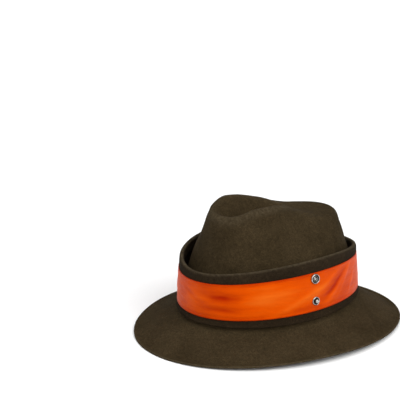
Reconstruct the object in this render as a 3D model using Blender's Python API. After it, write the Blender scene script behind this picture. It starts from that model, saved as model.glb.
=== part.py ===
"""Hunting hat: felt crown and brim, turn-up cuff, orange signal band and snap fastener.

The hat stands on its brim. Z is up, the front of the hat faces -Y, the wearer's left is +X.
Angles round the hat start at the front and grow towards the wearer's left.
"""
import math

import bmesh
import bpy
from mathutils import Matrix, Vector

# Felt of crown and brim
FELT = 0.0022
CROWN_LENGTH = 0.2072
CROWN_WIDTH = 0.1724
CROWN_HEIGHT = 0.1219
BRIM_END_WIDTH = 0.0535
BRIM_SIDE_WIDTH = 0.0466
BRIM_SIDE_LIFT = 0.0048
BRIM_BOW = 0.25
BREAK_HEIGHT = 0.0290
BREAK_TILT = 0.0036
BREAK_RADIUS = 0.0030
REST_STRIP = 0.0060
REST_SNAP = 0.0004

# Turn-up cuff
CUFF_SEAT = 0.0003
CUFF_LEAN_LENGTH = 0.0028
CUFF_LEAN_WIDTH = 0.0047
FOOT_FLARE = 0.0024
HEM_DEPTH = 0.0130
HEM_GAP = 0.0002
HEM_CHAMFER = 0.0006

# Signal band
BAND_THICK = 0.0006

# Edge lines round the hat, as heights above the break. Each line has its mean height, and how much higher
# it runs at the front than at the back, at both ends than at the sides, on the left than on the right, and
# at the front left and back right than at the other two corners ("twist").
EDGE_COLUMNS = ("mean", "front", "ends", "left", "twist")
CUFF_FOOT_LINE = (0.0033, 0.0000, 0.0000, 0.0000, 0.0000)
BAND_FOOT_LINE = (0.0112, 0.0010, -0.0015, 0.0000, 0.0000)
BAND_TOP_LINE = (0.0492, 0.0025, -0.0029, 0.0031, -0.0008)
CUFF_RIM_LINE = (0.0617, 0.0039, -0.0059, 0.0016, -0.0016)

# Snap fastener
GAP = 0.0003
SNAP_ANGLE = 91.7
SOCKET_DROP = 0.0067
SOCKET_DIAMETER = 0.0112
SOCKET_HEIGHT = 0.0022
CAP_DIAMETER = 0.0135
CAP_EDGE = 0.0005
CAP_DOME = 0.0009
STUD_RISE = 0.0109
STUD_DIAMETER = 0.0096
STUD_HEIGHT = 0.0012
BALL_DIAMETER = 0.0046
BALL_HEIGHT = 0.0034
RIVET_DIAMETER = 0.0090
RIVET_THICK = 0.0006
POST_DIAMETER = 0.0030
BORE_DIAMETER = 0.0038

# Rims of socket and stud, in shares of their radius and height: corner, crest and well
RIM_CORNER = 0.45
CREST_OUTSIDE = 0.92
CREST_INSIDE = 0.73
WELL_RADIUS = 0.64
WELL_FLOOR = 0.40

# Ball of the stud, in shares of its radius and height, and how far the posts reach into their rings
BALL_NECK = 0.80
BALL_SWELL = 0.60
BALL_SHOULDER = 0.80
POST_REACH = 0.60

# Fineness of the meshes
SEGMENTS = 56
STEPS = 2
BRIM_STEPS = 4
MARGIN_STEPS = 3
WALL_STEPS = 4
RIM_STEPS = 6
DOME_STEPS = 4
SNAP_SIDES = 20
SOFT_SHARP = 50.0
METAL_SHARP = 35.0

HALF_LENGTH = CROWN_LENGTH / 2
HALF_WIDTH = CROWN_WIDTH / 2

# Sections of the crown from its foot to the bottom of the hollow. Reaches forward and back, and the place
# of the widest point ("middle", positive to the back), are shares of the half length; the reach to the side
# is a share of the half width. Rises are shares of CROWN_HEIGHT. The pinch is a share of the side reach, and
# the taper narrows a section towards its back end by that share.
CROWN_COLUMNS = ("front", "back", "middle", "side", "rise_front", "rise_side", "rise_back", "pinch",
                 "taper")
CROWN_ROWS = (
    (1.000, 1.000, 0.00, 1.000, 0.000, 0.000, 0.000, 0.00, 0.00),
    (0.952, 0.972, 0.00, 0.963, 0.216, 0.216, 0.216, 0.00, 0.00),
    (0.825, 0.875, 0.00, 0.894, 0.493, 0.459, 0.504, 0.00, 0.00),
    (0.740, 0.827, 0.00, 0.785, 0.676, 0.613, 0.672, 0.05, 0.00),
    (0.710, 0.796, -0.06, 0.650, 0.804, 0.712, 0.754, 0.09, 0.00),
    (0.694, 0.639, -0.16, 0.519, 0.876, 0.819, 0.751, 0.07, 0.05),
    (0.648, 0.415, -0.32, 0.434, 0.896, 0.920, 0.772, 0.02, 0.26),
    (0.570, 0.269, -0.33, 0.353, 0.855, 0.959, 0.816, 0.00, 0.35),
    (0.481, 0.204, -0.30, 0.242, 0.778, 0.910, 0.851, 0.00, 0.35),
    (0.371, 0.076, -0.25, 0.124, 0.719, 0.802, 0.822, 0.00, 0.25),
    (0.200, -0.200, -0.20, 0.000, 0.745, 0.745, 0.745, 0.00, 0.00),
)
PINCH_ANGLE = 72.0
PINCH_SPREAD = 38.0


def spline(rows, columns, place):
    """Values of all columns at a place between the rows, as a dictionary (Catmull-Rom)."""
    last = len(rows) - 1
    row = min(int(place), last - 1)
    t = place - row
    before, start, end, after = (rows[min(max(row + k, 0), last)] for k in (-1, 0, 1, 2))
    values = {}
    for name, a, b, c, d in zip(columns, before, start, end, after):
        slope_in, slope_out = (c - a) / 2, (d - b) / 2
        values[name] = (b * (2 * t ** 3 - 3 * t ** 2 + 1) + slope_in * (t ** 3 - 2 * t ** 2 + t)
                        + c * (3 * t ** 2 - 2 * t ** 3) + slope_out * (t ** 3 - t ** 2))
    return values


def break_height(angle):
    """Height of the line where the brim meets the crown."""
    return BREAK_HEIGHT - BREAK_TILT * math.cos(angle)


def break_slope():
    """Angle by which the brim falls away from the crown."""
    drop = BREAK_HEIGHT - BREAK_TILT - FELT
    return math.atan2((1 + BRIM_BOW) * drop, BRIM_END_WIDTH)


def wall_foot(angle):
    """Height at which the crown's wall starts, above the fillet of the break."""
    return break_height(angle) + BREAK_RADIUS * math.cos(break_slope())


def oval(angle, outward, height):
    """Point at a distance outside the crown's foot."""
    return Vector(((HALF_WIDTH + outward) * math.sin(angle),
                   -(HALF_LENGTH + outward) * math.cos(angle), height))


def crown_point(angle, place):
    """Point of the crown's outer face; place counts the rows of the table."""
    row = spline(CROWN_ROWS, CROWN_COLUMNS, place)
    cosine, sine = math.cos(angle), math.sin(angle)
    end = "front" if cosine > 0 else "back"
    reach = -row["front"] if cosine > 0 else row["back"]
    y = row["middle"] + (reach - row["middle"]) * abs(cosine)
    rise = row["rise_side"] + (row["rise_" + end] - row["rise_side"]) * cosine ** 2
    off = abs((math.degrees(angle) + 180) % 360 - 180) - PINCH_ANGLE
    pinch = row["pinch"] * math.exp(-(off / PINCH_SPREAD) ** 2)
    taper = row["taper"] * max(0.0, -cosine)
    tilt = BREAK_TILT * cosine * rise
    return Vector((HALF_WIDTH * row["side"] * (1 - pinch) * (1 - taper) * sine, HALF_LENGTH * y,
                   wall_foot(angle) + tilt + CROWN_HEIGHT * rise))


def brim_point(angle, share):
    """Point of the brim's upper face; share is 0 at the break and 1 at the cut edge.

    The brim slopes down to its edge, and lies level along the strip on which it rests, front and back.
    """
    inner = BREAK_RADIUS * (1 - math.sin(break_slope()))
    side = inner + (BRIM_SIDE_WIDTH - inner) * share
    end = inner + (BRIM_END_WIDTH - inner) * share
    edge = FELT + BRIM_SIDE_LIFT * math.sin(angle) ** 2
    level = REST_STRIP / BRIM_END_WIDTH * math.cos(angle) ** 2
    sloped = min(1.0, share / (1 - level))
    fall = (1 - sloped) * (1 - BRIM_BOW * sloped)
    height = edge + (break_height(angle) - edge) * fall
    return Vector(((HALF_WIDTH + side) * math.sin(angle), -(HALF_LENGTH + end) * math.cos(angle), height))


def break_point(angle, share):
    """Point of the fillet between brim and crown; share is 0 at the brim and 1 at the wall."""
    turn = break_slope() + (math.pi / 2 - break_slope()) * share
    height = wall_foot(angle) - BREAK_RADIUS * math.cos(turn)
    return oval(angle, BREAK_RADIUS * (1 - math.sin(turn)), height)


def body_rings():
    """Rings of the outer face from the brim's edge to the bottom of the hollow, without its centre."""
    angles = [2 * math.pi * k / SEGMENTS for k in range(SEGMENTS)]
    strip = REST_STRIP / BRIM_END_WIDTH
    shares = [1, 1 - strip / 2] + [(1 - strip) * k / BRIM_STEPS for k in range(BRIM_STEPS, 0, -1)]
    rings = [[brim_point(a, share) for a in angles] for share in shares]
    rings += [[break_point(a, k / STEPS) for a in angles] for k in range(STEPS)]
    count = (len(CROWN_ROWS) - 1) * STEPS
    rings += [[crown_point(a, k / STEPS) for a in angles] for k in range(count)]
    return rings


def link(name, mesh_data, material):
    """Adds a mesh as a named object with its material."""
    obj = bpy.data.objects.new(name, mesh_data)
    obj.data.materials.append(material)
    bpy.context.collection.objects.link(obj)
    return obj


def finish_mesh(bm, name, sharp_degrees):
    """Turns a bmesh into a mesh shaded smooth up to the given angle."""
    bmesh.ops.recalc_face_normals(bm, faces=bm.faces)
    data = bpy.data.meshes.new(name)
    bm.to_mesh(data)
    bm.free()
    data.shade_smooth()
    data.set_sharp_from_angle(angle=math.radians(sharp_degrees))
    return data


def join_rings(bm, lower, upper):
    """Faces between two rings of vertices."""
    count = len(lower)
    for k in range(count):
        n = (k + 1) % count
        bm.faces.new((lower[k], lower[n], upper[n], upper[k]))


def make_hat_body(material):
    """Crown and brim: the outer face, and the inner face one felt thickness behind it."""
    bm = bmesh.new()
    outer = [[bm.verts.new(p) for p in ring] for ring in body_rings()]
    for lower, upper in zip(outer, outer[1:]):
        join_rings(bm, lower, upper)
    top = bm.verts.new(crown_point(0.0, len(CROWN_ROWS) - 1))
    for k in range(SEGMENTS):
        bm.faces.new((outer[-1][k], outer[-1][(k + 1) % SEGMENTS], top))
    bm.normal_update()
    back = {v: bm.verts.new(v.co - v.normal * FELT) for v in list(bm.verts)}
    for face in list(bm.faces):
        bm.faces.new([back[v] for v in reversed(face.verts)])
    join_rings(bm, [back[v] for v in outer[0]], outer[0])
    for v in back.values():
        if v.co.z < REST_SNAP:
            v.co.z = 0.0
    return link("hat_body", finish_mesh(bm, "hat_body", SOFT_SHARP), material)


def edge_height(line, angle):
    """Height of an edge line at an angle round the hat."""
    edge = dict(zip(EDGE_COLUMNS, line))
    return (break_height(angle) + edge["mean"] + edge["front"] * math.cos(angle)
            + edge["ends"] * math.cos(2 * angle) + edge["left"] * math.sin(angle)
            + edge["twist"] * math.sin(2 * angle))


def cuff_point(angle, height, outward):
    """Point at a height on the cuff's inner face, moved outward from it."""
    share = (height - edge_height(CUFF_FOOT_LINE, angle)) / (CUFF_RIM_LINE[0] - CUFF_FOOT_LINE[0])
    half_width = HALF_WIDTH + CUFF_SEAT - CUFF_LEAN_WIDTH * share + outward
    half_length = HALF_LENGTH + CUFF_SEAT - CUFF_LEAN_LENGTH * share + outward
    return Vector((half_width * math.sin(angle), -half_length * math.cos(angle), height))


def ring_solid(name, profile, material):
    """Closed ring whose section at each angle is the list of points that profile(angle) gives."""
    bm = bmesh.new()
    sections = []
    for k in range(SEGMENTS):
        sections.append([bm.verts.new(p) for p in profile(2 * math.pi * k / SEGMENTS)])
    for section, following in zip(sections, sections[1:] + sections[:1]):
        join_rings(bm, section, following)
    return link(name, finish_mesh(bm, name, SOFT_SHARP), material)


def cuff_profile(angle):
    """Section of the cuff: flared foot, outer face, rounded rim, doubled hem, step, inner face."""
    foot, rim = edge_height(CUFF_FOOT_LINE, angle), edge_height(CUFF_RIM_LINE, angle)
    radius = FELT + HEM_GAP / 2
    middle = FELT - radius
    bend = rim - radius
    hem = rim - HEM_DEPTH
    seam = edge_height(BAND_FOOT_LINE, angle)
    points = []
    for k in range(MARGIN_STEPS):
        share = k / MARGIN_STEPS
        points.append(cuff_point(angle, foot + (seam - foot) * share, FELT + FOOT_FLARE * (1 - share) ** 2))
    points += [cuff_point(angle, seam + (bend - seam) * k / WALL_STEPS, FELT) for k in range(WALL_STEPS)]
    for k in range(RIM_STEPS + 1):
        turn = math.pi * k / RIM_STEPS
        points.append(cuff_point(angle, bend + radius * math.sin(turn), middle + radius * math.cos(turn)))
    points.append(cuff_point(angle, hem + HEM_CHAMFER, middle - radius))
    points.append(cuff_point(angle, hem, middle - radius + HEM_CHAMFER))
    points += [cuff_point(angle, foot + (hem - foot) * k / WALL_STEPS, 0.0)
               for k in range(WALL_STEPS, -1, -1)]
    return points


def band_profile(angle):
    """Section of the signal band, which lies on the cuff's outer face."""
    foot, top = edge_height(BAND_FOOT_LINE, angle), edge_height(BAND_TOP_LINE, angle)
    heights = [foot + (top - foot) * k / WALL_STEPS for k in range(WALL_STEPS + 1)]
    inner = FELT + GAP
    return ([cuff_point(angle, h, inner + BAND_THICK) for h in heights]
            + [cuff_point(angle, h, inner) for h in reversed(heights)])


def turned(name, profile, frame, material):
    """Turned solid: profile is a list of (radius, height) from the axis over the outside back to it."""
    bm = bmesh.new()
    rings = []
    for radius, height in profile:
        if radius == 0:
            rings.append([bm.verts.new(frame @ Vector((0, 0, height)))])
            continue
        spin = (2 * math.pi * k / SNAP_SIDES for k in range(SNAP_SIDES))
        rings.append([bm.verts.new(frame @ Vector((radius * math.cos(a), radius * math.sin(a), height)))
                      for a in spin])
    for low, high in zip(rings, rings[1:]):
        for k in range(SNAP_SIDES):
            n = (k + 1) % SNAP_SIDES
            corners = (low[k % len(low)], low[n % len(low)], high[n % len(high)], high[k % len(high)])
            bm.faces.new(tuple(dict.fromkeys(corners)))
    return link(name, finish_mesh(bm, name, METAL_SHARP), material)


def turned_ring(name, profile, frame, material):
    """Turned ring: profile is a closed list of (radius, height) clear of the axis."""
    bm = bmesh.new()
    sections = []
    for k in range(SNAP_SIDES):
        spin = 2 * math.pi * k / SNAP_SIDES
        sections.append([bm.verts.new(frame @ Vector((r * math.cos(spin), r * math.sin(spin), h)))
                         for r, h in profile])
    for section, following in zip(sections, sections[1:] + sections[:1]):
        join_rings(bm, section, following)
    return link(name, finish_mesh(bm, name, METAL_SHARP), material)


def snap_frame(height):
    """Frame on the cuff's inner face at the snap's angle, its Z axis pointing out of the hat."""
    angle = math.radians(SNAP_ANGLE)
    origin = cuff_point(angle, height, 0.0)
    upward = (cuff_point(angle, height + FELT, 0.0) - origin).normalized()
    turn = FELT / HALF_LENGTH
    along = (cuff_point(angle + turn, height, 0.0) - cuff_point(angle - turn, height, 0.0)).normalized()
    outward = along.cross(upward).normalized()
    upward = outward.cross(along).normalized()
    return Matrix.Translation(origin) @ Matrix((along, upward, outward)).transposed().to_4x4()


def drill(obj, frame, material):
    """Cuts a bore for a snap's post through a wall."""
    reach = 4 * FELT
    profile = [(0, -reach), (BORE_DIAMETER / 2, -reach), (BORE_DIAMETER / 2, reach), (0, reach)]
    cutter = turned("bore_cutter", profile, frame, material)
    cutter.hide_render = True
    cutter.display_type = "WIRE"
    cut = obj.modifiers.new("bore", "BOOLEAN")
    cut.operation = "DIFFERENCE"
    cut.solver = "EXACT"
    cut.object = cutter


def rim_section(radius, low, height):
    """Section of a snap's rim, from its hole over seat, outer corner and crest into its well."""
    return [(POST_DIAMETER / 2 + GAP, low), (radius, low), (radius, low + height * RIM_CORNER),
            (radius * CREST_OUTSIDE, low + height), (radius * CREST_INSIDE, low + height),
            (radius * WELL_RADIUS, low + height * WELL_FLOOR)]


def make_socket(frame, face, metal):
    """Socket ring on the band, and the domed cap behind the cuff with its post."""
    hole, post = POST_DIAMETER / 2 + GAP, POST_DIAMETER / 2
    low = face + GAP
    section = rim_section(SOCKET_DIAMETER / 2, low, SOCKET_HEIGHT)
    turned_ring("snap_socket", section + [(hole, low + SOCKET_HEIGHT * WELL_FLOOR)], frame, metal)
    edge = CAP_DIAMETER / 2
    turns = [math.pi / 2 * k / DOME_STEPS for k in range(DOME_STEPS, 0, -1)]
    dome = [(0, -GAP - CAP_EDGE - CAP_DOME)]
    dome += [(edge * math.cos(t), -GAP - CAP_EDGE - CAP_DOME * math.sin(t)) for t in turns[1:]]
    dome += [(edge, -GAP - CAP_EDGE), (edge, -GAP)]
    tip = low + SOCKET_HEIGHT * WELL_FLOOR * POST_REACH
    turned("snap_cap", dome + [(post, -GAP), (post, tip), (0, tip)], frame, metal)


def make_stud(frame, face, metal, dark):
    """Stud ring with its ball on the band, and the flat rivet behind the cuff with its post."""
    hole, post = POST_DIAMETER / 2 + GAP, POST_DIAMETER / 2
    low = face + GAP
    floor = low + STUD_HEIGHT * WELL_FLOOR
    ball = BALL_DIAMETER / 2
    section = rim_section(STUD_DIAMETER / 2, low, STUD_HEIGHT)
    section += [(ball * BALL_NECK, floor), (ball, low + BALL_HEIGHT * BALL_SWELL),
                (ball, low + BALL_HEIGHT * BALL_SHOULDER), (ball * BALL_NECK, low + BALL_HEIGHT),
                (hole, low + BALL_HEIGHT)]
    turned_ring("snap_stud", section, frame, metal)
    edge, tip = RIVET_DIAMETER / 2, low + BALL_HEIGHT * POST_REACH
    turned("snap_rivet", [(0, -GAP - RIVET_THICK), (edge, -GAP - RIVET_THICK), (edge, -GAP), (post, -GAP),
                          (post, tip), (0, tip)], frame, dark)


def principled(name, colour, roughness, metallic):
    """Plain material."""
    material = bpy.data.materials.new(name)
    material.use_nodes = True
    shader = material.node_tree.nodes["Principled BSDF"]
    shader.inputs["Base Color"].default_value = (*colour, 1.0)
    shader.inputs["Roughness"].default_value = roughness
    shader.inputs["Metallic"].default_value = metallic
    return material


def main():
    """Clears the scene and makes the hat."""
    for obj in list(bpy.data.objects):
        bpy.data.objects.remove(obj)
    make_hat_body(principled("olive_felt", (0.062, 0.043, 0.024), 0.95, 0.0))
    cuff = ring_solid("cuff", cuff_profile, principled("cuff_felt", (0.060, 0.040, 0.022), 0.95, 0.0))
    band = ring_solid("signal_band", band_profile, principled("signal_orange", (0.86, 0.11, 0.005), 0.5, 0.0))
    metal = principled("nickel", (0.60, 0.58, 0.55), 0.25, 1.0)
    dark = principled("nickel_back", (0.50, 0.48, 0.45), 0.35, 1.0)
    angle = math.radians(SNAP_ANGLE)
    upper = snap_frame(edge_height(BAND_TOP_LINE, angle) - SOCKET_DROP)
    lower = snap_frame(edge_height(BAND_FOOT_LINE, angle) + STUD_RISE)
    face = FELT + GAP + BAND_THICK
    make_socket(upper, face, metal)
    make_stud(lower, face, metal, dark)
    for frame in (upper, lower):
        drill(cuff, frame, metal)
        drill(band, frame, metal)


main()
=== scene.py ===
"""Hunting hat in felt with an orange signal band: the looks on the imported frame.

Z is up, the front of the hat faces -Y and the wearer's left is +X. Lengths are in metres.
Angles round the hat start at the front and grow towards the wearer's left.
"""

import math

import bpy
import numpy as np
from mathutils import Matrix, Vector


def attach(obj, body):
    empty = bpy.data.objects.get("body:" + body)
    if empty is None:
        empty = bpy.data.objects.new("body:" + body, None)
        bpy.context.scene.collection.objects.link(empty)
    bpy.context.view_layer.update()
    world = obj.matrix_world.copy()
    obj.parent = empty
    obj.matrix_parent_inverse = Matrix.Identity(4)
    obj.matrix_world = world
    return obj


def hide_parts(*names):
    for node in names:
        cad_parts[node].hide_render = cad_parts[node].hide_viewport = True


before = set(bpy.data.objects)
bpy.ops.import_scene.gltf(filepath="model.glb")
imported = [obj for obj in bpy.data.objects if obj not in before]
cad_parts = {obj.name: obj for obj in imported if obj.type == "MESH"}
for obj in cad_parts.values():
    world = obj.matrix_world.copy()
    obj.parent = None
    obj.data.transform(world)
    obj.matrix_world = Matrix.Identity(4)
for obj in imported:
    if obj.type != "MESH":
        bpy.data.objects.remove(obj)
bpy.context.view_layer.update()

# Sizes of the solids, which the pieces here follow
FELT = 0.0022
HALF_LENGTH = 0.1036
HALF_WIDTH = 0.0862
CROWN_HEIGHT = 0.1219
BRIM_END_WIDTH = 0.0535
BRIM_SIDE_WIDTH = 0.0466
BRIM_SIDE_LIFT = 0.0048
BRIM_BOW = 0.25
BREAK_HEIGHT = 0.0290
BREAK_TILT = 0.0036
BREAK_RADIUS = 0.0030
REST_STRIP = 0.0060
REST_SNAP = 0.0004
CUFF_SEAT = 0.0003
CUFF_LEAN_LENGTH = 0.0028
CUFF_LEAN_WIDTH = 0.0047
FOOT_FLARE = 0.0024
HEM_DEPTH = 0.0130
HEM_GAP = 0.0002
HEM_CHAMFER = 0.0006
BAND_THICK = 0.0006
GAP = 0.0003
SNAP_ANGLE = 91.7
SOCKET_DROP = 0.0067
STUD_RISE = 0.0109

# Edge lines round the hat, as heights above the break: mean, front, ends, left, twist
CUFF_FOOT_LINE = (0.0033, 0.0000, 0.0000, 0.0000, 0.0000)
BAND_FOOT_LINE = (0.0112, 0.0010, -0.0015, 0.0000, 0.0000)
BAND_TOP_LINE = (0.0492, 0.0025, -0.0029, 0.0031, -0.0008)
CUFF_RIM_LINE = (0.0617, 0.0039, -0.0059, 0.0016, -0.0016)

# Soft forms of the cuff's felt: radius of its folded foot, swell of its bare margin above the band
FOOT_ROLL = 0.0014
MARGIN_SWELL = 0.0005
MARGIN_SWELL_RUN = 0.0018

# Unevenness of felt and cloth: height out of the face, wavelength and seed of each layer of waves
HAT_WAVES = ((0.00035, 0.045, 3), (0.00012, 0.014, 4))
BRIM_WAVES = ((0.0006, 0.11, 5),)
CUT_EDGE_WAVES = ((0.00006, 0.004, 8),)
CUFF_WAVES = ((0.00030, 0.060, 12), (0.00006, 0.012, 13))
RIM_WAVES = ((0.0004, 0.07, 14),)
BAND_WAVES = ((0.00009, 0.060, 21), (0.00004, 0.030, 22))

# Where the felt may be uneven: above the cuff's seat, and on the outer part of the brim (as a share)
EVEN_BELOW = 0.055
EVEN_FADE = 0.03
BRIM_EVEN_SHARE = 0.72
BRIM_FADE_SHARE = 0.2
CUFF_FADE = 0.05

# Lighter felt on the brim's cut edge and along the ridge round the hollow: rubbing, and painted highlight
# where they catch the light
CUT_CORNER = 0.00045
CUT_EDGE_WEAR_AND_HIGHLIGHT = 0.6
RIDGE_WEAR_AND_HIGHLIGHT = 0.6
RIDGE_HIGHLIGHT_PLACE = 0.004
RIDGE_HIGHLIGHT_WIDTH = 0.007
MARGIN_WEAR = 0.1

# Band: its seat on the cuff, how far it stands out between its edges, and how calm it is near them
BAND_SEAT = 0.3 * GAP
BAND_SWELL = 0.00035
BAND_CALM = 0.006
BAND_HELD = 0.25
# Relief at which the painted fold shade and highlight are fullest, and width of the painted shade along the
# band's edges
FOLD_SHADE_RELIEF = 0.0007
EDGE_SHADE_WIDTH = 0.0009

# Turned edges of the band: height, distance from the edge and half width of the roll and of its stitch line
BAND_EDGES = ((0.00022, 0.0010, 0.0011), (-0.00020, 0.0026, 0.0005))

# Sections of the crown from its foot to the bottom of the hollow
CROWN_COLUMNS = ("front", "back", "middle", "side", "rise_front", "rise_side", "rise_back", "pinch",
                 "taper")
CROWN_ROWS = (
    (1.000, 1.000, 0.00, 1.000, 0.000, 0.000, 0.000, 0.00, 0.00),
    (0.952, 0.972, 0.00, 0.963, 0.216, 0.216, 0.216, 0.00, 0.00),
    (0.825, 0.875, 0.00, 0.894, 0.493, 0.459, 0.504, 0.00, 0.00),
    (0.740, 0.827, 0.00, 0.785, 0.676, 0.613, 0.672, 0.05, 0.00),
    (0.710, 0.796, -0.06, 0.650, 0.804, 0.712, 0.754, 0.09, 0.00),
    (0.694, 0.639, -0.16, 0.519, 0.876, 0.819, 0.751, 0.07, 0.05),
    (0.648, 0.415, -0.32, 0.434, 0.896, 0.920, 0.772, 0.02, 0.26),
    (0.570, 0.269, -0.33, 0.353, 0.855, 0.959, 0.816, 0.00, 0.35),
    (0.481, 0.204, -0.30, 0.242, 0.778, 0.910, 0.851, 0.00, 0.35),
    (0.371, 0.076, -0.25, 0.124, 0.719, 0.802, 0.822, 0.00, 0.25),
    (0.200, -0.200, -0.20, 0.000, 0.745, 0.745, 0.745, 0.00, 0.00),
)
PINCH_ANGLE = 72.0
PINCH_SPREAD = 38.0

# Fineness of the meshes
HAT_SEGMENTS = 280
CROWN_STEPS = 14
INNER_STEPS = 5
CUFF_SEGMENTS = 300
BAND_SEGMENTS = 840
BREAK_STEPS = 7
BRIM_STEPS = 31
CUT_STEPS = 9
FOOT_STEPS = 7
MARGIN_STEPS = 12
FACE_STEPS = 20
BARE_STEPS = 10
RIM_STEPS = 17
HEM_STEPS = 7
INNER_FACE_STEPS = 14
BAND_STEPS = 45
BAND_BACK_STEPS = 8
SNAP_SIDES = 48

# Soft folds of the band. Each has its place (angle in degrees, share of the band's height), half length and
# half width in metres, its tilt in degrees and its height out of the band.
FOLD_COLUMNS = ("angle", "share", "length", "width", "tilt", "rise")
BAND_FOLDS = (
    (86.0, 0.42, 0.034, 0.0034, 21.0, 0.00060),
    (100.0, 0.62, 0.022, 0.0030, 30.0, 0.00040),
    (112.0, 0.52, 0.020, 0.0026, 38.0, 0.00055),
    (119.0, 0.64, 0.018, 0.0024, 46.0, 0.00045),
    (127.0, 0.45, 0.016, 0.0026, 50.0, 0.00040),
    (97.0, 0.30, 0.024, 0.0028, 18.0, -0.00040),
    (107.0, 0.50, 0.020, 0.0024, 34.0, -0.00050),
    (31.0, 0.62, 0.020, 0.0042, 0.0, -0.00070),
    (31.0, 0.27, 0.019, 0.0030, 0.0, -0.00055),
    (8.0, 0.50, 0.013, 0.0070, 0.0, 0.00050),
    (60.0, 0.50, 0.026, 0.0170, 0.0, 0.00040),
    (58.0, 0.55, 0.024, 0.0040, 4.0, 0.00025),
    (118.0, 0.50, 0.024, 0.0200, 0.0, -0.00035),
    (5.0, 0.60, 0.020, 0.0030, -24.0, -0.00040),
    (170.0, 0.50, 0.030, 0.0036, 14.0, 0.00045),
    (205.0, 0.40, 0.034, 0.0030, -10.0, -0.00040),
    (236.0, 0.60, 0.030, 0.0040, 9.0, 0.00040),
    (270.0, 0.45, 0.036, 0.0040, -7.0, 0.00045),
    (305.0, 0.55, 0.028, 0.0034, 16.0, -0.00040),
    (335.0, 0.45, 0.024, 0.0034, -18.0, 0.00045),
)


# Turned sections of the snap's parts. Each point has its radius and its height out of the cuff's inner face,
# in millimetres, and where it lies in a hollow its share of painted shade, with some tarnish.
SNAP_ROUNDING = 0.00012
SOCKET_PROFILE = (
    (1.9, 3.3), (5.55, 3.3, 0.6), (5.6, 3.7, 0.3), (5.5, 4.6), (5.25, 5.1), (4.9, 5.3), (4.5, 5.2),
    (4.25, 4.8, 0.6), (4.1, 4.1, 1.0), (3.6, 3.9, 1.0), (3.2, 4.0, 1.0), (2.9, 4.6, 0.5),
    (2.6, 4.85, 0.2), (2.3, 4.7, 0.6), (2.0, 4.1, 1.0), (1.9, 3.8, 1.0))
STUD_PROFILE = (
    (1.9, 3.3), (4.75, 3.3, 0.5), (4.8, 3.5), (4.7, 4.0), (4.45, 4.35), (4.1, 4.45), (3.8, 4.3, 0.3),
    (3.55, 3.8, 1.0), (3.0, 3.65, 1.0), (2.1, 3.75, 1.0), (1.7, 4.3, 1.0), (1.8, 5.0, 0.6), (2.1, 5.6),
    (2.2, 6.1), (2.05, 6.5), (1.6, 6.75), (0.8, 6.85), (0.0, 6.88), (0.0, 3.9), (1.9, 3.8))
CAP_PROFILE = (
    (0.0, -1.75), (2.6, -1.68), (4.8, -1.42), (6.2, -1.0), (6.7, -0.6), (6.7, -0.35), (6.4, -0.25),
    (1.6, -0.25), (1.5, 0.0), (1.5, 4.2), (0.0, 4.35))
RIVET_PROFILE = (
    (0.0, -0.95), (3.9, -0.92), (4.4, -0.75), (4.45, -0.35), (4.2, -0.28), (1.6, -0.28), (1.5, 0.0),
    (1.5, 3.6), (0.0, 3.6))

# Colours of the finishes
OLIVE_DARK = (0.026, 0.0175, 0.0075)
OLIVE_LIGHT = (0.040, 0.0275, 0.0130)
# The cuff's felt colours are darker than the hat's: painted shade on the cuff's faces
CUFF_SHADED_DARK = (0.0125, 0.0078, 0.0038)
CUFF_SHADED_LIGHT = (0.021, 0.0135, 0.0068)
# Pale felt for flecks and wear, also used as painted highlight on ridges, lips and the cut edge
PALE_FELT_AND_HIGHLIGHT = (0.085, 0.066, 0.040)
# The shaded orange is the satin's colour in shade, painted in hollows, along edges and in dark patches
SIGNAL_SHADED = (0.36, 0.016, 0.0002)
SIGNAL_BRIGHT = (0.60, 0.066, 0.0003)
# The sheen colour is painted on as pale satin sheen, and also tints the satin's real reflections
SIGNAL_SHEEN = (0.66, 0.120, 0.008)
NICKEL_PLATE = (0.50, 0.49, 0.46)
NICKEL_PLAIN = (0.42, 0.41, 0.39)
FLOOR_COLOUR = (0.93, 0.93, 0.93)
WEFT_PITCH = 0.00042
WARP_PITCH = 0.00036


# Forms shared with the solids

def crown_values(places):
    """Values of the crown's columns at places between the rows (Catmull-Rom)."""
    rows = np.array(CROWN_ROWS)
    last = len(rows) - 1
    row = np.minimum(places.astype(int), last - 1)
    t = (places - row)[:, None]
    before, start, end, after = (rows[np.clip(row + k, 0, last)] for k in (-1, 0, 1, 2))
    slope_in, slope_out = (end - before) / 2, (after - start) / 2
    values = (start * (2 * t ** 3 - 3 * t ** 2 + 1) + slope_in * (t ** 3 - 2 * t ** 2 + t)
              + end * (3 * t ** 2 - 2 * t ** 3) + slope_out * (t ** 3 - t ** 2))
    return {name: values[:, k:k + 1] for k, name in enumerate(CROWN_COLUMNS)}


def break_height(angles):
    """Height of the line where the brim meets the crown."""
    return BREAK_HEIGHT - BREAK_TILT * np.cos(angles)


def break_slope():
    """Angle by which the brim falls away from the crown."""
    drop = BREAK_HEIGHT - BREAK_TILT - FELT
    return math.atan2((1 + BRIM_BOW) * drop, BRIM_END_WIDTH)


def wall_foot(angles):
    """Height at which the crown's wall starts."""
    return break_height(angles) + BREAK_RADIUS * math.cos(break_slope())


def stack(x, y, z):
    """Points from three arrays that broadcast together."""
    return np.stack(np.broadcast_arrays(x, y, z), axis=-1)


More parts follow.
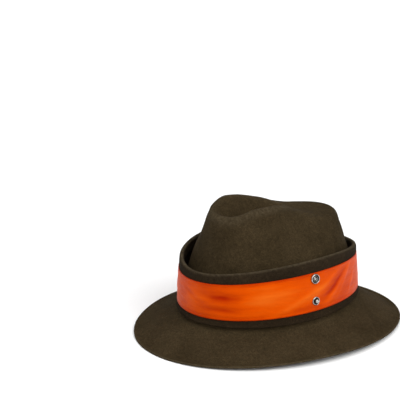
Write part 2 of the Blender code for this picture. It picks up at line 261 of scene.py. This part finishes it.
def crown_rings(angles, places):
    """Rings of the crown's outer face; places count the rows of the table."""
    row = crown_values(places)
    cosine, sine = np.cos(angles), np.sin(angles)
    ahead = cosine > 0
    reach = np.where(ahead, -row["front"], row["back"])
    y = row["middle"] + (reach - row["middle"]) * np.abs(cosine)
    end = np.where(ahead, row["rise_front"], row["rise_back"])
    rise = row["rise_side"] + (end - row["rise_side"]) * cosine ** 2
    off = np.abs((np.degrees(angles) + 180) % 360 - 180) - PINCH_ANGLE
    pinched = 1 - row["pinch"] * np.exp(-(off / PINCH_SPREAD) ** 2)
    narrow = pinched * (1 + row["taper"] * np.minimum(cosine, 0))
    height = wall_foot(angles) + BREAK_TILT * cosine * rise + CROWN_HEIGHT * rise
    return stack(HALF_WIDTH * row["side"] * narrow * sine, HALF_LENGTH * y, height)


def brim_rings(angles, shares):
    """Rings of the brim's upper face; a share is 0 at the break and 1 at the cut edge."""
    share = shares[:, None]
    inner = BREAK_RADIUS * (1 - math.sin(break_slope()))
    side = inner + (BRIM_SIDE_WIDTH - inner) * share
    end = inner + (BRIM_END_WIDTH - inner) * share
    edge = FELT + BRIM_SIDE_LIFT * np.sin(angles) ** 2
    level = REST_STRIP / BRIM_END_WIDTH * np.cos(angles) ** 2
    sloped = np.minimum(1, share / (1 - level))
    fall = (1 - sloped) * (1 - BRIM_BOW * sloped)
    height = edge + (break_height(angles) - edge) * fall
    return stack((HALF_WIDTH + side) * np.sin(angles), -(HALF_LENGTH + end) * np.cos(angles), height)


def break_rings(angles, shares):
    """Rings of the fillet between brim and crown; a share is 0 at the brim and 1 at the wall."""
    turn = break_slope() + (math.pi / 2 - break_slope()) * shares[:, None]
    outward = BREAK_RADIUS * (1 - np.sin(turn))
    height = wall_foot(angles) - BREAK_RADIUS * np.cos(turn)
    return stack((HALF_WIDTH + outward) * np.sin(angles), -(HALF_LENGTH + outward) * np.cos(angles), height)


def edge_height(line, angles):
    """Height of an edge line at angles round the hat."""
    mean, front, ends, left, twist = line
    return (break_height(angles) + mean + front * np.cos(angles) + ends * np.cos(2 * angles)
            + left * np.sin(angles) + twist * np.sin(2 * angles))


def cuff_points(angles, heights, outward):
    """Points at heights on the cuff's inner face, moved outward from it."""
    share = (heights - edge_height(CUFF_FOOT_LINE, angles)) / (CUFF_RIM_LINE[0] - CUFF_FOOT_LINE[0])
    half_width = HALF_WIDTH + CUFF_SEAT - CUFF_LEAN_WIDTH * share + outward
    half_length = HALF_LENGTH + CUFF_SEAT - CUFF_LEAN_LENGTH * share + outward
    return stack(half_width * np.sin(angles), -half_length * np.cos(angles), heights)


# Mesh helpers

def turns(count):
    """Angles round the hat."""
    return np.arange(count) * 2 * math.pi / count


def lumps(points, wavelength, seed):
    """Smooth unevenness from -1 to 1 at points, made of seeded waves in all directions."""
    source = np.random.default_rng(seed)
    total = np.zeros(points.shape[:-1])
    for _ in range(14):
        direction = source.normal(size=3)
        direction /= np.linalg.norm(direction) * wavelength * source.uniform(0.7, 1.5)
        total += np.sin(2 * math.pi * points @ direction + source.uniform(0, 2 * math.pi))
    return total / 5


def waves(points, layers):
    """Unevenness in metres at points, from layers of waves."""
    return sum(height * lumps(points, wavelength, seed) for height, wavelength, seed in layers)


def ring_normals(rings):
    """Outward normals of rings that run from the top of the hat to its brim."""
    around = np.roll(rings, -1, 1) - np.roll(rings, 1, 1)
    along = np.gradient(rings, axis=0)
    normals = np.cross(along, around)
    return normals / np.maximum(np.linalg.norm(normals, axis=-1, keepdims=True), 1e-12)


def mesh_object(name, vertices, faces, material):
    """Smooth mesh object with its material."""
    data = bpy.data.meshes.new(name)
    data.from_pydata(vertices.tolist(), [], faces)
    data.validate()
    data.shade_smooth()
    data.materials.append(material)
    piece = bpy.data.objects.new(name, data)
    bpy.context.scene.collection.objects.link(piece)
    return piece


def ring_faces(rings, count, closed):
    """Quads between neighbouring rings, and back to the first ring where the section is closed."""
    faces = []
    for r in range(rings if closed else rings - 1):
        low, high = r * count, (r + 1) % rings * count
        for k in range(count):
            n = (k + 1) % count
            faces.append((low + k, high + k, high + n, low + n))
    return faces


def attribute(piece, name, values):
    """Stores one number for each vertex."""
    layer = piece.data.attributes.new(name, "FLOAT", "POINT")
    layer.data.foreach_set("value", values.astype(np.float32).ravel())


def finish_piece(piece, slot, *nodes):
    """Lets a piece stand for its solids and ride on the hat; its slot is not used."""
    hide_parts(*nodes)
    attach(piece, "root")
    return piece


# Pieces

def hat_outer_rings(angles):
    """Outer face from the bottom of the hollow over crown and break to the cut edge, a little uneven."""
    last = len(CROWN_ROWS) - 1
    crown = crown_rings(angles, np.linspace(last, 0, last * CROWN_STEPS, endpoint=False)[1:])
    fillet = break_rings(angles, np.linspace(1, 0, BREAK_STEPS))
    brim = brim_rings(angles, np.linspace(0, 1, BRIM_STEPS)[1:])
    rings = np.concatenate([crown, fillet, brim])
    height = rings[..., 2]
    free = np.clip((height - EVEN_BELOW) / EVEN_FADE, 0, 1)
    outward = np.hypot(rings[..., 0] / (HALF_WIDTH + BRIM_SIDE_WIDTH),
                       rings[..., 1] / (HALF_LENGTH + BRIM_END_WIDTH))
    on_brim = np.clip((outward - BRIM_EVEN_SHARE) / BRIM_FADE_SHARE, 0, 1) * (height < BREAK_HEIGHT)
    rings = rings + ring_normals(rings) * (waves(rings, HAT_WAVES) * free)[..., None]
    rings[..., 2] += on_brim * np.sin(angles) ** 2 * waves(rings, BRIM_WAVES)
    return rings


def cut_edge_rings(upper, lower, outward):
    """Rings over the raw-cut edge, with its two corners a little rounded."""
    rings = []
    for t in np.linspace(0, 1, CUT_STEPS):
        back = CUT_CORNER * abs(2 * t - 1) ** 5
        ragged = waves(upper + t * 0.01, CUT_EDGE_WAVES)[..., None]
        rings.append(upper + (lower - upper) * t - outward * (back - ragged))
    return np.array(rings)


def ridge_wear_and_highlight(rings):
    """How much lighter the felt is along the ridge round the hollow, from 0 to 1: rubbing, and painted
    highlight on the lip that faces up to the light.
    """
    lengths = np.linalg.norm(np.diff(rings, axis=0, prepend=rings[:1]), axis=-1).cumsum(0)
    crest = rings[..., 2].argmax(0)
    off = lengths - np.take_along_axis(lengths, crest[None], 0) - RIDGE_HIGHLIGHT_PLACE
    return RIDGE_WEAR_AND_HIGHLIGHT * np.exp(-(off / RIDGE_HIGHLIGHT_WIDTH) ** 2)


def make_hat(material):
    """Crown and brim as one felt shell: outer face, cut edge and inner face."""
    angles = turns(HAT_SEGMENTS)
    outer = hat_outer_rings(angles)
    normals = ring_normals(outer)
    inner = outer - normals * FELT
    inner[..., 2] = np.where(inner[..., 2] < REST_SNAP, 0.0, inner[..., 2])
    outward = np.cross(np.roll(outer[-1], -1, 0) - np.roll(outer[-1], 1, 0), normals[-1])
    outward /= np.linalg.norm(outward, axis=-1, keepdims=True)
    edge = cut_edge_rings(outer[-1], inner[-1], outward)
    steps = CROWN_STEPS // INNER_STEPS
    back = inner[:-1][::-1][::steps]
    rings = np.concatenate([outer[:-1], edge, back])
    count = HAT_SEGMENTS
    centre = outer[0].mean(0)
    vertices = np.concatenate([rings.reshape(-1, 3), [centre, centre - (0, 0, FELT)]])
    faces = ring_faces(len(rings), count, False)
    top, under = len(vertices) - 2, len(vertices) - 1
    last = (len(rings) - 1) * count
    faces += [(top, k, (k + 1) % count) for k in range(count)]
    faces += [(last + k, under, last + (k + 1) % count) for k in range(count)]
    piece = mesh_object("felt_hat", vertices, faces, material)
    wear_and_highlight = np.zeros(len(vertices))
    first = len(outer[:-1]) * count
    wear_and_highlight[:first] = ridge_wear_and_highlight(outer[:-1]).ravel()
    # The cut edge is painted lighter: a painted highlight along the raw edge, with its wear
    wear_and_highlight[first:first + edge[..., 0].size] = CUT_EDGE_WEAR_AND_HIGHLIGHT
    attribute(piece, "wear_and_highlight", wear_and_highlight)
    return finish_piece(piece, "felt", "hat_body")


def smooth(share):
    """Share from 0 to 1 that starts and ends gently."""
    share = np.clip(share, 0, 1)
    return share * share * (3 - 2 * share)


def cuff_section(angles):
    """Section of the cuff all round, and how much lighter each of its rings is painted: slight wear on the
    margin, and a painted highlight on the rim's lip.
    """
    foot, rim = edge_height(CUFF_FOOT_LINE, angles), edge_height(CUFF_RIM_LINE, angles)
    seam, top = edge_height(BAND_FOOT_LINE, angles), edge_height(BAND_TOP_LINE, angles)
    radius = FELT + (HEM_GAP + MARGIN_SWELL) / 2
    middle = FELT + MARGIN_SWELL - radius
    bend, hem = rim - radius, rim - HEM_DEPTH

    def flare(heights):
        return FOOT_FLARE * (1 - np.clip((heights - foot) / (seam - foot), 0, 1)) ** 2

    rows = []
    for turn in np.linspace(-math.pi / 2, 0, FOOT_STEPS):
        heights = foot + FOOT_ROLL * (1 + math.sin(turn))
        outward = FELT + flare(foot + FOOT_ROLL) - FOOT_ROLL * (1 - math.cos(turn))
        rows.append((heights, outward, 0.0))
    for t in np.linspace(0, 1, MARGIN_STEPS)[1:]:
        heights = foot + FOOT_ROLL + (seam - foot - FOOT_ROLL) * t
        rows.append((heights, FELT + flare(heights), 0.0))
    for t in np.linspace(0, 1, FACE_STEPS)[1:]:
        rows.append((seam + (top - seam) * t, FELT, 0.0))
    for t in np.linspace(0, 1, BARE_STEPS)[1:-1]:
        heights = top + (bend - top) * t
        swell = MARGIN_SWELL * smooth((heights - top) / MARGIN_SWELL_RUN)
        rows.append((heights, FELT + swell, MARGIN_WEAR * t))
    # The rim's lip is painted lighter towards its top: a painted highlight where it faces up to the light
    for turn in np.linspace(0, math.pi, RIM_STEPS):
        rows.append((bend + radius * math.sin(turn), middle + radius * math.cos(turn),
                     MARGIN_WEAR + (1 - MARGIN_WEAR) * math.sin(turn) ** 2))
    inner = middle - radius
    for t in np.linspace(0, 1, HEM_STEPS)[1:]:
        rows.append((bend + (hem + HEM_CHAMFER - bend) * t, inner, MARGIN_WEAR))
    rows.append((hem + HEM_CHAMFER / 3, inner + HEM_CHAMFER / 3, MARGIN_WEAR))
    rows.append((hem, inner + HEM_CHAMFER, 0.0))
    for t in np.linspace(0, 1, INNER_FACE_STEPS):
        rows.append((hem + (foot - hem) * t, 0.0, 0.0))
    rings = [cuff_points(angles, heights, outward) for heights, outward, _ in rows]
    return np.array(rings), np.array([row[2] for row in rows])


def make_cuff(material):
    """Turn-up cuff of felt with its folded foot and its doubled hem."""
    angles = turns(CUFF_SEGMENTS)
    rings, rubbed_and_lit = cuff_section(angles)
    foot = edge_height(CUFF_FOOT_LINE, angles)
    rise = np.clip((rings[..., 2] - foot) / CUFF_FADE, 0, 1)
    out = stack(np.sin(angles), -np.cos(angles), 0 * angles)
    rings = rings + out * (waves(rings, CUFF_WAVES) * rise)[..., None]
    rings[..., 2] += rise ** 2 * waves(rings * (1, 1, 0), RIM_WAVES)
    faces = ring_faces(len(rings), CUFF_SEGMENTS, True)
    piece = mesh_object("felt_cuff", rings.reshape(-1, 3), faces, material)
    attribute(piece, "wear_and_highlight", np.repeat(rubbed_and_lit, CUFF_SEGMENTS))
    return finish_piece(piece, "cuff_felt", "cuff")


def fold_relief(angles, shares, tall, girth):
    """How far the band's cloth stands out at each point: its folds and the fine pull lines along it."""
    relief = np.zeros((len(shares), len(angles)))
    for row in BAND_FOLDS:
        fold = dict(zip(FOLD_COLUMNS, row))
        turn = (angles - math.radians(fold["angle"]) + math.pi) % (2 * math.pi) - math.pi
        along = turn * girth / (2 * math.pi)
        up = (shares[:, None] - fold["share"]) * tall
        tilt = math.radians(fold["tilt"])
        far = along * math.cos(tilt) + up * math.sin(tilt)
        off = up * math.cos(tilt) - along * math.sin(tilt)
        bump = np.exp(-(far / fold["length"]) ** 2 - (off / fold["width"]) ** 2)
        relief += fold["rise"] * bump
    flat = stack(np.cos(angles) * 0.18, np.sin(angles) * 0.18, shares[:, None] * tall * 7)
    return relief + waves(flat, BAND_WAVES)


def make_band(material):
    """Orange band: a strip of satin cloth round the cuff, with turned edges, folds and pull lines."""
    angles = turns(BAND_SEGMENTS)
    foot, top = edge_height(BAND_FOOT_LINE, angles), edge_height(BAND_TOP_LINE, angles)
    tall, girth = float((top - foot).mean()), 2 * math.pi * (HALF_LENGTH + HALF_WIDTH) / 2
    shares = np.linspace(0, 1, BAND_STEPS)
    inner = FELT + BAND_SEAT
    from_edge = np.minimum(shares, 1 - shares)[:, None] * tall
    calm = np.clip(from_edge / BAND_CALM, 0, 1)
    hem = sum(rise * np.exp(-((from_edge - place) / width) ** 2) for rise, place, width in BAND_EDGES)
    relief = fold_relief(angles, shares, tall, girth) * (BAND_HELD + (1 - BAND_HELD) * calm)
    relief += BAND_SWELL * calm
    outer = [cuff_points(angles, foot + (top - foot) * s, inner + BAND_THICK + relief[k] + hem[k])
             for k, s in enumerate(shares)]
    over = [cuff_points(angles, top + BAND_THICK * 0.35, inner + BAND_THICK * 0.6),
            cuff_points(angles, top + BAND_THICK * 0.20, inner + BAND_THICK * 0.15)]
    back = [cuff_points(angles, top + (foot - top) * s, inner) for s in np.linspace(0, 1, BAND_BACK_STEPS)]
    under = [cuff_points(angles, foot - BAND_THICK * 0.20, inner + BAND_THICK * 0.15),
             cuff_points(angles, foot - BAND_THICK * 0.35, inner + BAND_THICK * 0.6)]
    rings = np.array(outer + over + back + under)
    faces = ring_faces(len(rings), BAND_SEGMENTS, True)
    piece = mesh_object("satin_band", rings.reshape(-1, 3), faces, material)
    # Painted shade and highlight of the cloth's relief: darker in the hollows and near the edges, lighter on
    # the raised folds
    fold_shade = np.zeros(rings.shape[:2])
    fold_shade[:len(shares)] = np.clip(relief / FOLD_SHADE_RELIEF - 0.5, -1, 1)
    attribute(piece, "fold", fold_shade)
    # Painted shade along the band's top and bottom edges, in a strip as wide as EDGE_SHADE_WIDTH
    edge = np.ones(rings.shape[:2])
    edge[:len(shares)] = np.clip(1 - from_edge / EDGE_SHADE_WIDTH, 0, 1)
    attribute(piece, "edge", edge)
    around = turns(BAND_SEGMENTS) / (2 * math.pi) * girth
    height = np.zeros(rings.shape[:2])
    height[:len(shares)] = shares[:, None] * tall
    attribute(piece, "along", np.broadcast_to(around, height.shape))
    attribute(piece, "up", height)
    finish_piece(piece, "signal_fabric", "signal_band")
    return piece


def snap_frame(height):
    """Frame on the cuff's inner face at the snap's angle, its Z axis pointing out of the hat."""
    angle = math.radians(SNAP_ANGLE)
    turn = FELT / HALF_LENGTH
    origin, above, left, right = (Vector(cuff_points(a, h, 0.0)) for a, h in (
        (angle, height), (angle, height + FELT), (angle + turn, height), (angle - turn, height)))
    along, upward = (left - right).normalized(), (above - origin).normalized()
    outward = along.cross(upward).normalized()
    upward = outward.cross(along).normalized()
    return Matrix.Translation(origin) @ Matrix((along, upward, outward)).transposed().to_4x4()


def turned(name, profile, seat, material):
    """Turned piece with a closed section of (radius, height, painted shade with some tarnish) points, in
    millimetres and a share.
    """
    spin = turns(SNAP_SIDES)
    rings = []
    for radius, height, *_ in profile:
        r = max(radius, 0.0005) / 1000
        rings.append(stack(r * np.cos(spin), r * np.sin(spin), height / 1000 + 0 * spin))
    points = np.array(rings).reshape(-1, 3)
    turn = np.array(seat)
    points = points @ turn[:3, :3].T + turn[:3, 3]
    faces = [face[::-1] for face in ring_faces(len(profile), SNAP_SIDES, True)]
    piece = mesh_object(name, points, faces, material)
    attribute(piece, "well_shade", np.repeat([row[2] if len(row) > 2 else 0.0 for row in profile], SNAP_SIDES))
    bevel = piece.modifiers.new("edges", "BEVEL")
    bevel.width = SNAP_ROUNDING
    bevel.segments = 3
    bevel.angle_limit = math.radians(32)
    return piece


def make_snaps(nickel, nickel_back):
    """The four parts of the snap."""
    angle = math.radians(SNAP_ANGLE)
    upper = snap_frame(float(edge_height(BAND_TOP_LINE, angle)) - SOCKET_DROP)
    lower = snap_frame(float(edge_height(BAND_FOOT_LINE, angle)) + STUD_RISE)
    for name, profile, seat, material, slot in (
            ("nickel_socket", SOCKET_PROFILE, upper, nickel, "nickel"),
            ("nickel_stud", STUD_PROFILE, lower, nickel, "nickel"),
            ("nickel_cap", CAP_PROFILE, upper, nickel, "nickel"),
            ("nickel_rivet", RIVET_PROFILE, lower, nickel_back, "nickel_back")):
        piece = turned(name, profile, seat, material)
        finish_piece(piece, slot, name.replace("nickel", "snap"))


# Materials

class Nodes:
    """Adds nodes to a material and links them."""

    def __init__(self, name):
        self.material = bpy.data.materials.new(name)
        self.material.use_nodes = True
        self.tree = self.material.node_tree
        self.shader = self.tree.nodes["Principled BSDF"]

    def add(self, kind, inputs=None, **settings):
        """New node; inputs maps socket names or numbers to values or to sockets of other nodes."""
        node = self.tree.nodes.new("ShaderNode" + kind)
        for key, value in settings.items():
            setattr(node, key, value)
        for key, value in (inputs or {}).items():
            self.feed(node.inputs[key], value)
        return node

    def feed(self, socket, value):
        """Sets a socket, or links it if the value is a socket."""
        if isinstance(value, bpy.types.NodeSocket):
            self.tree.links.new(value, socket)
        else:
            socket.default_value = value

    def noise(self, place, scale, detail, roughness=0.5, distortion=0.0):
        """Noise from 0 to 1."""
        inputs = {"Vector": place, "Scale": scale, "Detail": detail, "Roughness": roughness,
                  "Distortion": distortion}
        return self.add("TexNoise", inputs).outputs["Fac"]

    def math(self, operation, *values):
        """Number worked out from numbers."""
        return self.add("Math", dict(enumerate(values)), operation=operation).outputs[0]

    def span(self, value, low, high, to_low=0.0, to_high=1.0):
        """Value moved from one range to another and held within it."""
        return self.add("MapRange", {"Value": value, "From Min": low, "From Max": high, "To Min": to_low,
                                     "To Max": to_high}).outputs["Result"]

    def mix(self, share, first, second, blend="MIX"):
        """Colour between two colours."""
        node = self.add("Mix", {"Factor": share}, data_type="RGBA", blend_type=blend)
        self.feed(node.inputs[6], first)
        self.feed(node.inputs[7], second)
        return node.outputs[2]

    def bump(self, height, distance, strength=1.0, normal=None):
        """Normal that follows a height map."""
        inputs = {"Height": height, "Distance": distance, "Strength": strength}
        if normal is not None:
            inputs["Normal"] = normal
        return self.add("Bump", inputs).outputs["Normal"]

    def number(self, name):
        """Number stored at the mesh's vertices."""
        return self.add("Attribute", attribute_name=name).outputs["Fac"]

    def finish(self, **sockets):
        """Feeds the shader's own sockets and returns the material."""
        for key, value in sockets.items():
            self.feed(self.shader.inputs[key.replace("_", " ")], value)
        return self.material


def felt_material(name, dark, light, pale_and_highlight_colour):
    """Wool felt: cloudy dye, matted fibres, pale flecks, wear, and painted highlight on the ridge, rim lip
    and cut edge.
    """
    n = Nodes(name)
    place = n.add("TexCoord").outputs["Object"]
    cloud = n.noise(place, 26.0, 4.0, 0.6)
    tufts = n.noise(place, 300.0, 4.0, 0.6, 0.8)
    fibres = n.noise(place, 860.0, 5.0, 0.75, 1.8)
    grain = n.noise(place, 1900.0, 3.0, 0.6)
    colour = n.mix(n.span(cloud, 0.30, 0.70), (*dark, 1), (*light, 1))
    shade = n.math("MULTIPLY", n.span(fibres, 0.36, 0.64, 0.42, 1.58), n.span(tufts, 0.34, 0.66, 0.84, 1.16))
    colour = n.mix(1.0, colour, n.add("CombineColor", {0: shade, 1: shade, 2: shade}).outputs[0], "MULTIPLY")
    colour = n.mix(n.span(fibres, 0.62, 0.72, 0.0, 0.40), colour, (*pale_and_highlight_colour, 1))
    # Lighter where the stored share says so: wear, and painted highlight on the lit ridge, rim lip and cut
    # edge
    rubbed_and_lit = n.math("MULTIPLY", n.number("wear_and_highlight"), n.span(tufts, 0.35, 0.65, 0.25, 0.75))
    colour = n.mix(rubbed_and_lit, colour, (*pale_and_highlight_colour, 1))
    normal = n.bump(tufts, 0.0008, 0.7)
    normal = n.bump(fibres, 0.0005, 0.9, normal)
    normal = n.bump(grain, 0.0002, 0.6, normal)
    return n.finish(Base_Color=colour, Roughness=0.96, Sheen_Weight=0.05, Sheen_Roughness=0.5,
                    Sheen_Tint=(*pale_and_highlight_colour, 1), Specular_IOR_Level=0.05, Normal=normal)


def satin_material(name, shaded_colour, bright, pale):
    """Signal orange satin: fine crossed weave, lengthwise streaks, painted shade in the hollows and along the
    edges, and painted highlight and sheen on the raised parts.
    """
    n = Nodes(name)
    along, up = n.number("along"), n.number("up")
    flat = n.add("CombineXYZ", {0: along, 1: up, 2: 0.0}).outputs[0]
    long_ways = n.add("CombineXYZ", {0: n.math("MULTIPLY", along, 0.10), 1: up, 2: 0.0}).outputs[0]
    streaks = n.noise(long_ways, 520.0, 4.0, 0.6)
    bands = n.noise(long_ways, 130.0, 3.0, 0.5)
    clouds = n.noise(flat, 34.0, 3.0, 0.5)
    weft = n.math("SINE", n.math("MULTIPLY", up, 2 * math.pi / WEFT_PITCH))
    warp = n.math("SINE", n.math("MULTIPLY", along, 2 * math.pi / WARP_PITCH))
    weave = n.math("MULTIPLY", weft, warp)
    # Tone: random clouds and lengthwise bands standing in for the satin's changing sheen, plus the fold
    # share, which paints shade in hollows and highlight on raised folds
    fold = n.number("fold")
    tone = n.math("ADD", n.span(clouds, 0.25, 0.75, -0.20, 0.20), n.span(bands, 0.25, 0.75, -0.28, 0.28))
    tone = n.math("ADD", tone, n.math("MULTIPLY", fold, 0.75))
    colour = n.mix(n.span(tone, -0.9, 0.15), (*shaded_colour, 1), (*bright, 1))
    # Pale colour at high tones: painted satin sheen
    colour = n.mix(n.span(tone, 0.15, 0.9, 0.0, 0.75), colour, (*pale, 1))
    # Painted shade along the band's edges
    colour = n.mix(n.math("MULTIPLY", n.number("edge"), 0.7), colour, (*shaded_colour, 1))
    normal = n.bump(bands, 0.0010, 0.35)
    normal = n.bump(streaks, 0.0005, 0.30, normal)
    normal = n.bump(weave, 0.00006, 0.35, normal)
    rough = n.span(streaks, 0.3, 0.7, 0.40, 0.56)
    return n.finish(Base_Color=colour, Roughness=rough, Specular_IOR_Level=0.14, Specular_Tint=(*pale, 1),
                    Normal=normal)


def nickel_material(name, colour, roughness):
    """Nickel plate: turned scratches, handling haze, and painted shade with some tarnish in the wells."""
    n = Nodes(name)
    place = n.add("TexCoord").outputs["Object"]
    haze = n.noise(place, 380.0, 3.0)
    scratches = n.noise(place, 5200.0, 2.0, 0.7)
    tone = n.mix(n.span(haze, 0.35, 0.75), (*colour, 1), (*[c * 0.72 for c in colour], 1))
    # Near-black in the wells: painted shade in the hollows, with some tarnish
    tone = n.mix(n.number("well_shade"), tone, (*[c * 0.06 for c in colour], 1))
    rough = n.math("ADD", n.span(haze, 0.3, 0.7, 0.0, 0.12), roughness)
    return n.finish(Base_Color=tone, Metallic=1.0, Roughness=rough, Normal=n.bump(scratches, 0.00003, 0.25))


def floor_material():
    """Plain pale floor."""
    n = Nodes("pale_floor")
    return n.finish(Base_Color=(*FLOOR_COLOUR, 1), Roughness=0.9, Specular_IOR_Level=0.1)


# Scene

CAMERA_TURN = 56.02
CAMERA_RISE = 21.51
CAMERA_DISTANCE = 2.0
CAMERA_SCALE = 883.0
SHOWN_POINT = (267.97, 319.26)
TARGET = Vector((0.0, 0.0, 0.0035))
FRAME = 400
SENSOR = 36.0


def make_camera():
    """Camera at the photo's angle, turned so that the target falls at its place in the frame."""
    turn, rise = math.radians(CAMERA_TURN), math.radians(CAMERA_RISE)
    back = Vector((math.sin(turn) * math.cos(rise), -math.cos(turn) * math.cos(rise), math.sin(rise)))
    right = Vector((math.cos(turn), math.sin(turn), 0))
    up = back.cross(right)
    pixels = CAMERA_SCALE * CAMERA_DISTANCE
    shown = Vector((SHOWN_POINT[0] - FRAME / 2, FRAME / 2 - SHOWN_POINT[1], -pixels)).normalized()
    data = bpy.data.cameras.new("camera")
    data.sensor_width = SENSOR
    data.lens = pixels * SENSOR / FRAME
    camera = bpy.data.objects.new("camera", data)
    looks = Matrix((right, up, back)).transposed().to_quaternion()
    camera.rotation_mode = "QUATERNION"
    camera.rotation_quaternion = looks @ shown.rotation_difference(Vector((0, 0, -1)))
    camera.location = TARGET + back * CAMERA_DISTANCE
    bpy.context.scene.collection.objects.link(camera)
    bpy.context.scene.camera = camera


def aimed(name, kind, turn, rise, distance, power):
    """Light of a kind that points at the hat from a turn and a rise in degrees."""
    data = bpy.data.lights.new(name, kind)
    data.energy = power
    light = bpy.data.objects.new(name, data)
    a, e = math.radians(turn), math.radians(rise)
    back = Vector((math.sin(a) * math.cos(e), -math.cos(a) * math.cos(e), math.sin(e)))
    light.location = Vector((0, 0, 0.08)) + back * distance
    light.rotation_mode = "QUATERNION"
    light.rotation_quaternion = (-back).to_track_quat("-Z", "Y")
    bpy.context.scene.collection.objects.link(light)
    return data


def far_light(name, turn, rise, softness, power):
    """Wide soft light from far away, which lights the floor evenly."""
    aimed(name, "SUN", turn, rise, 3.0, power).angle = math.radians(softness)


def softbox(name, turn, rise, distance, size, power):
    """Square soft light near the hat."""
    data = aimed(name, "AREA", turn, rise, distance, power)
    data.shape = "SQUARE"
    data.size = size


def make_studio():
    """Pale floor, soft lights and a pale surround."""
    reach = 8.0
    corners = np.array([(-reach, -reach, 0), (reach, -reach, 0), (reach, reach, 0), (-reach, reach, 0)])
    floor = mesh_object("studio_floor", corners - (0, 0, 0.0001), [(0, 1, 2, 3)], floor_material())
    world = bpy.data.worlds.new("studio")
    world.use_nodes = True
    background = world.node_tree.nodes["Background"]
    background.inputs["Color"].default_value = (1.0, 1.0, 1.0, 1)
    background.inputs["Strength"].default_value = 0.40
    bpy.context.scene.world = world
    far_light("key_light", turn=98, rise=36, softness=45, power=2.1)
    far_light("top_light", turn=20, rise=76, softness=70, power=1.5)
    softbox("side_box", turn=8, rise=26, distance=1.9, size=0.6, power=3.0)
    scene = bpy.context.scene
    scene.view_settings.view_transform = "Standard"
    scene.view_settings.look = "None"


def main():
    """Dresses the frame and sets the scene."""
    nickel = nickel_material("nickel_plate", NICKEL_PLATE, 0.20)
    nickel_back = nickel_material("nickel_plain", NICKEL_PLAIN, 0.32)
    make_hat(felt_material("olive_felt", OLIVE_DARK, OLIVE_LIGHT, PALE_FELT_AND_HIGHLIGHT))
    # The cuff's felt is given darker colours than the hat's: painted shade on the cuff's faces
    make_cuff(felt_material("cuff_felt", CUFF_SHADED_DARK, CUFF_SHADED_LIGHT, PALE_FELT_AND_HIGHLIGHT))
    make_band(satin_material("signal_satin", SIGNAL_SHADED, SIGNAL_BRIGHT, SIGNAL_SHEEN))
    make_snaps(nickel, nickel_back)
    make_camera()
    make_studio()


main()
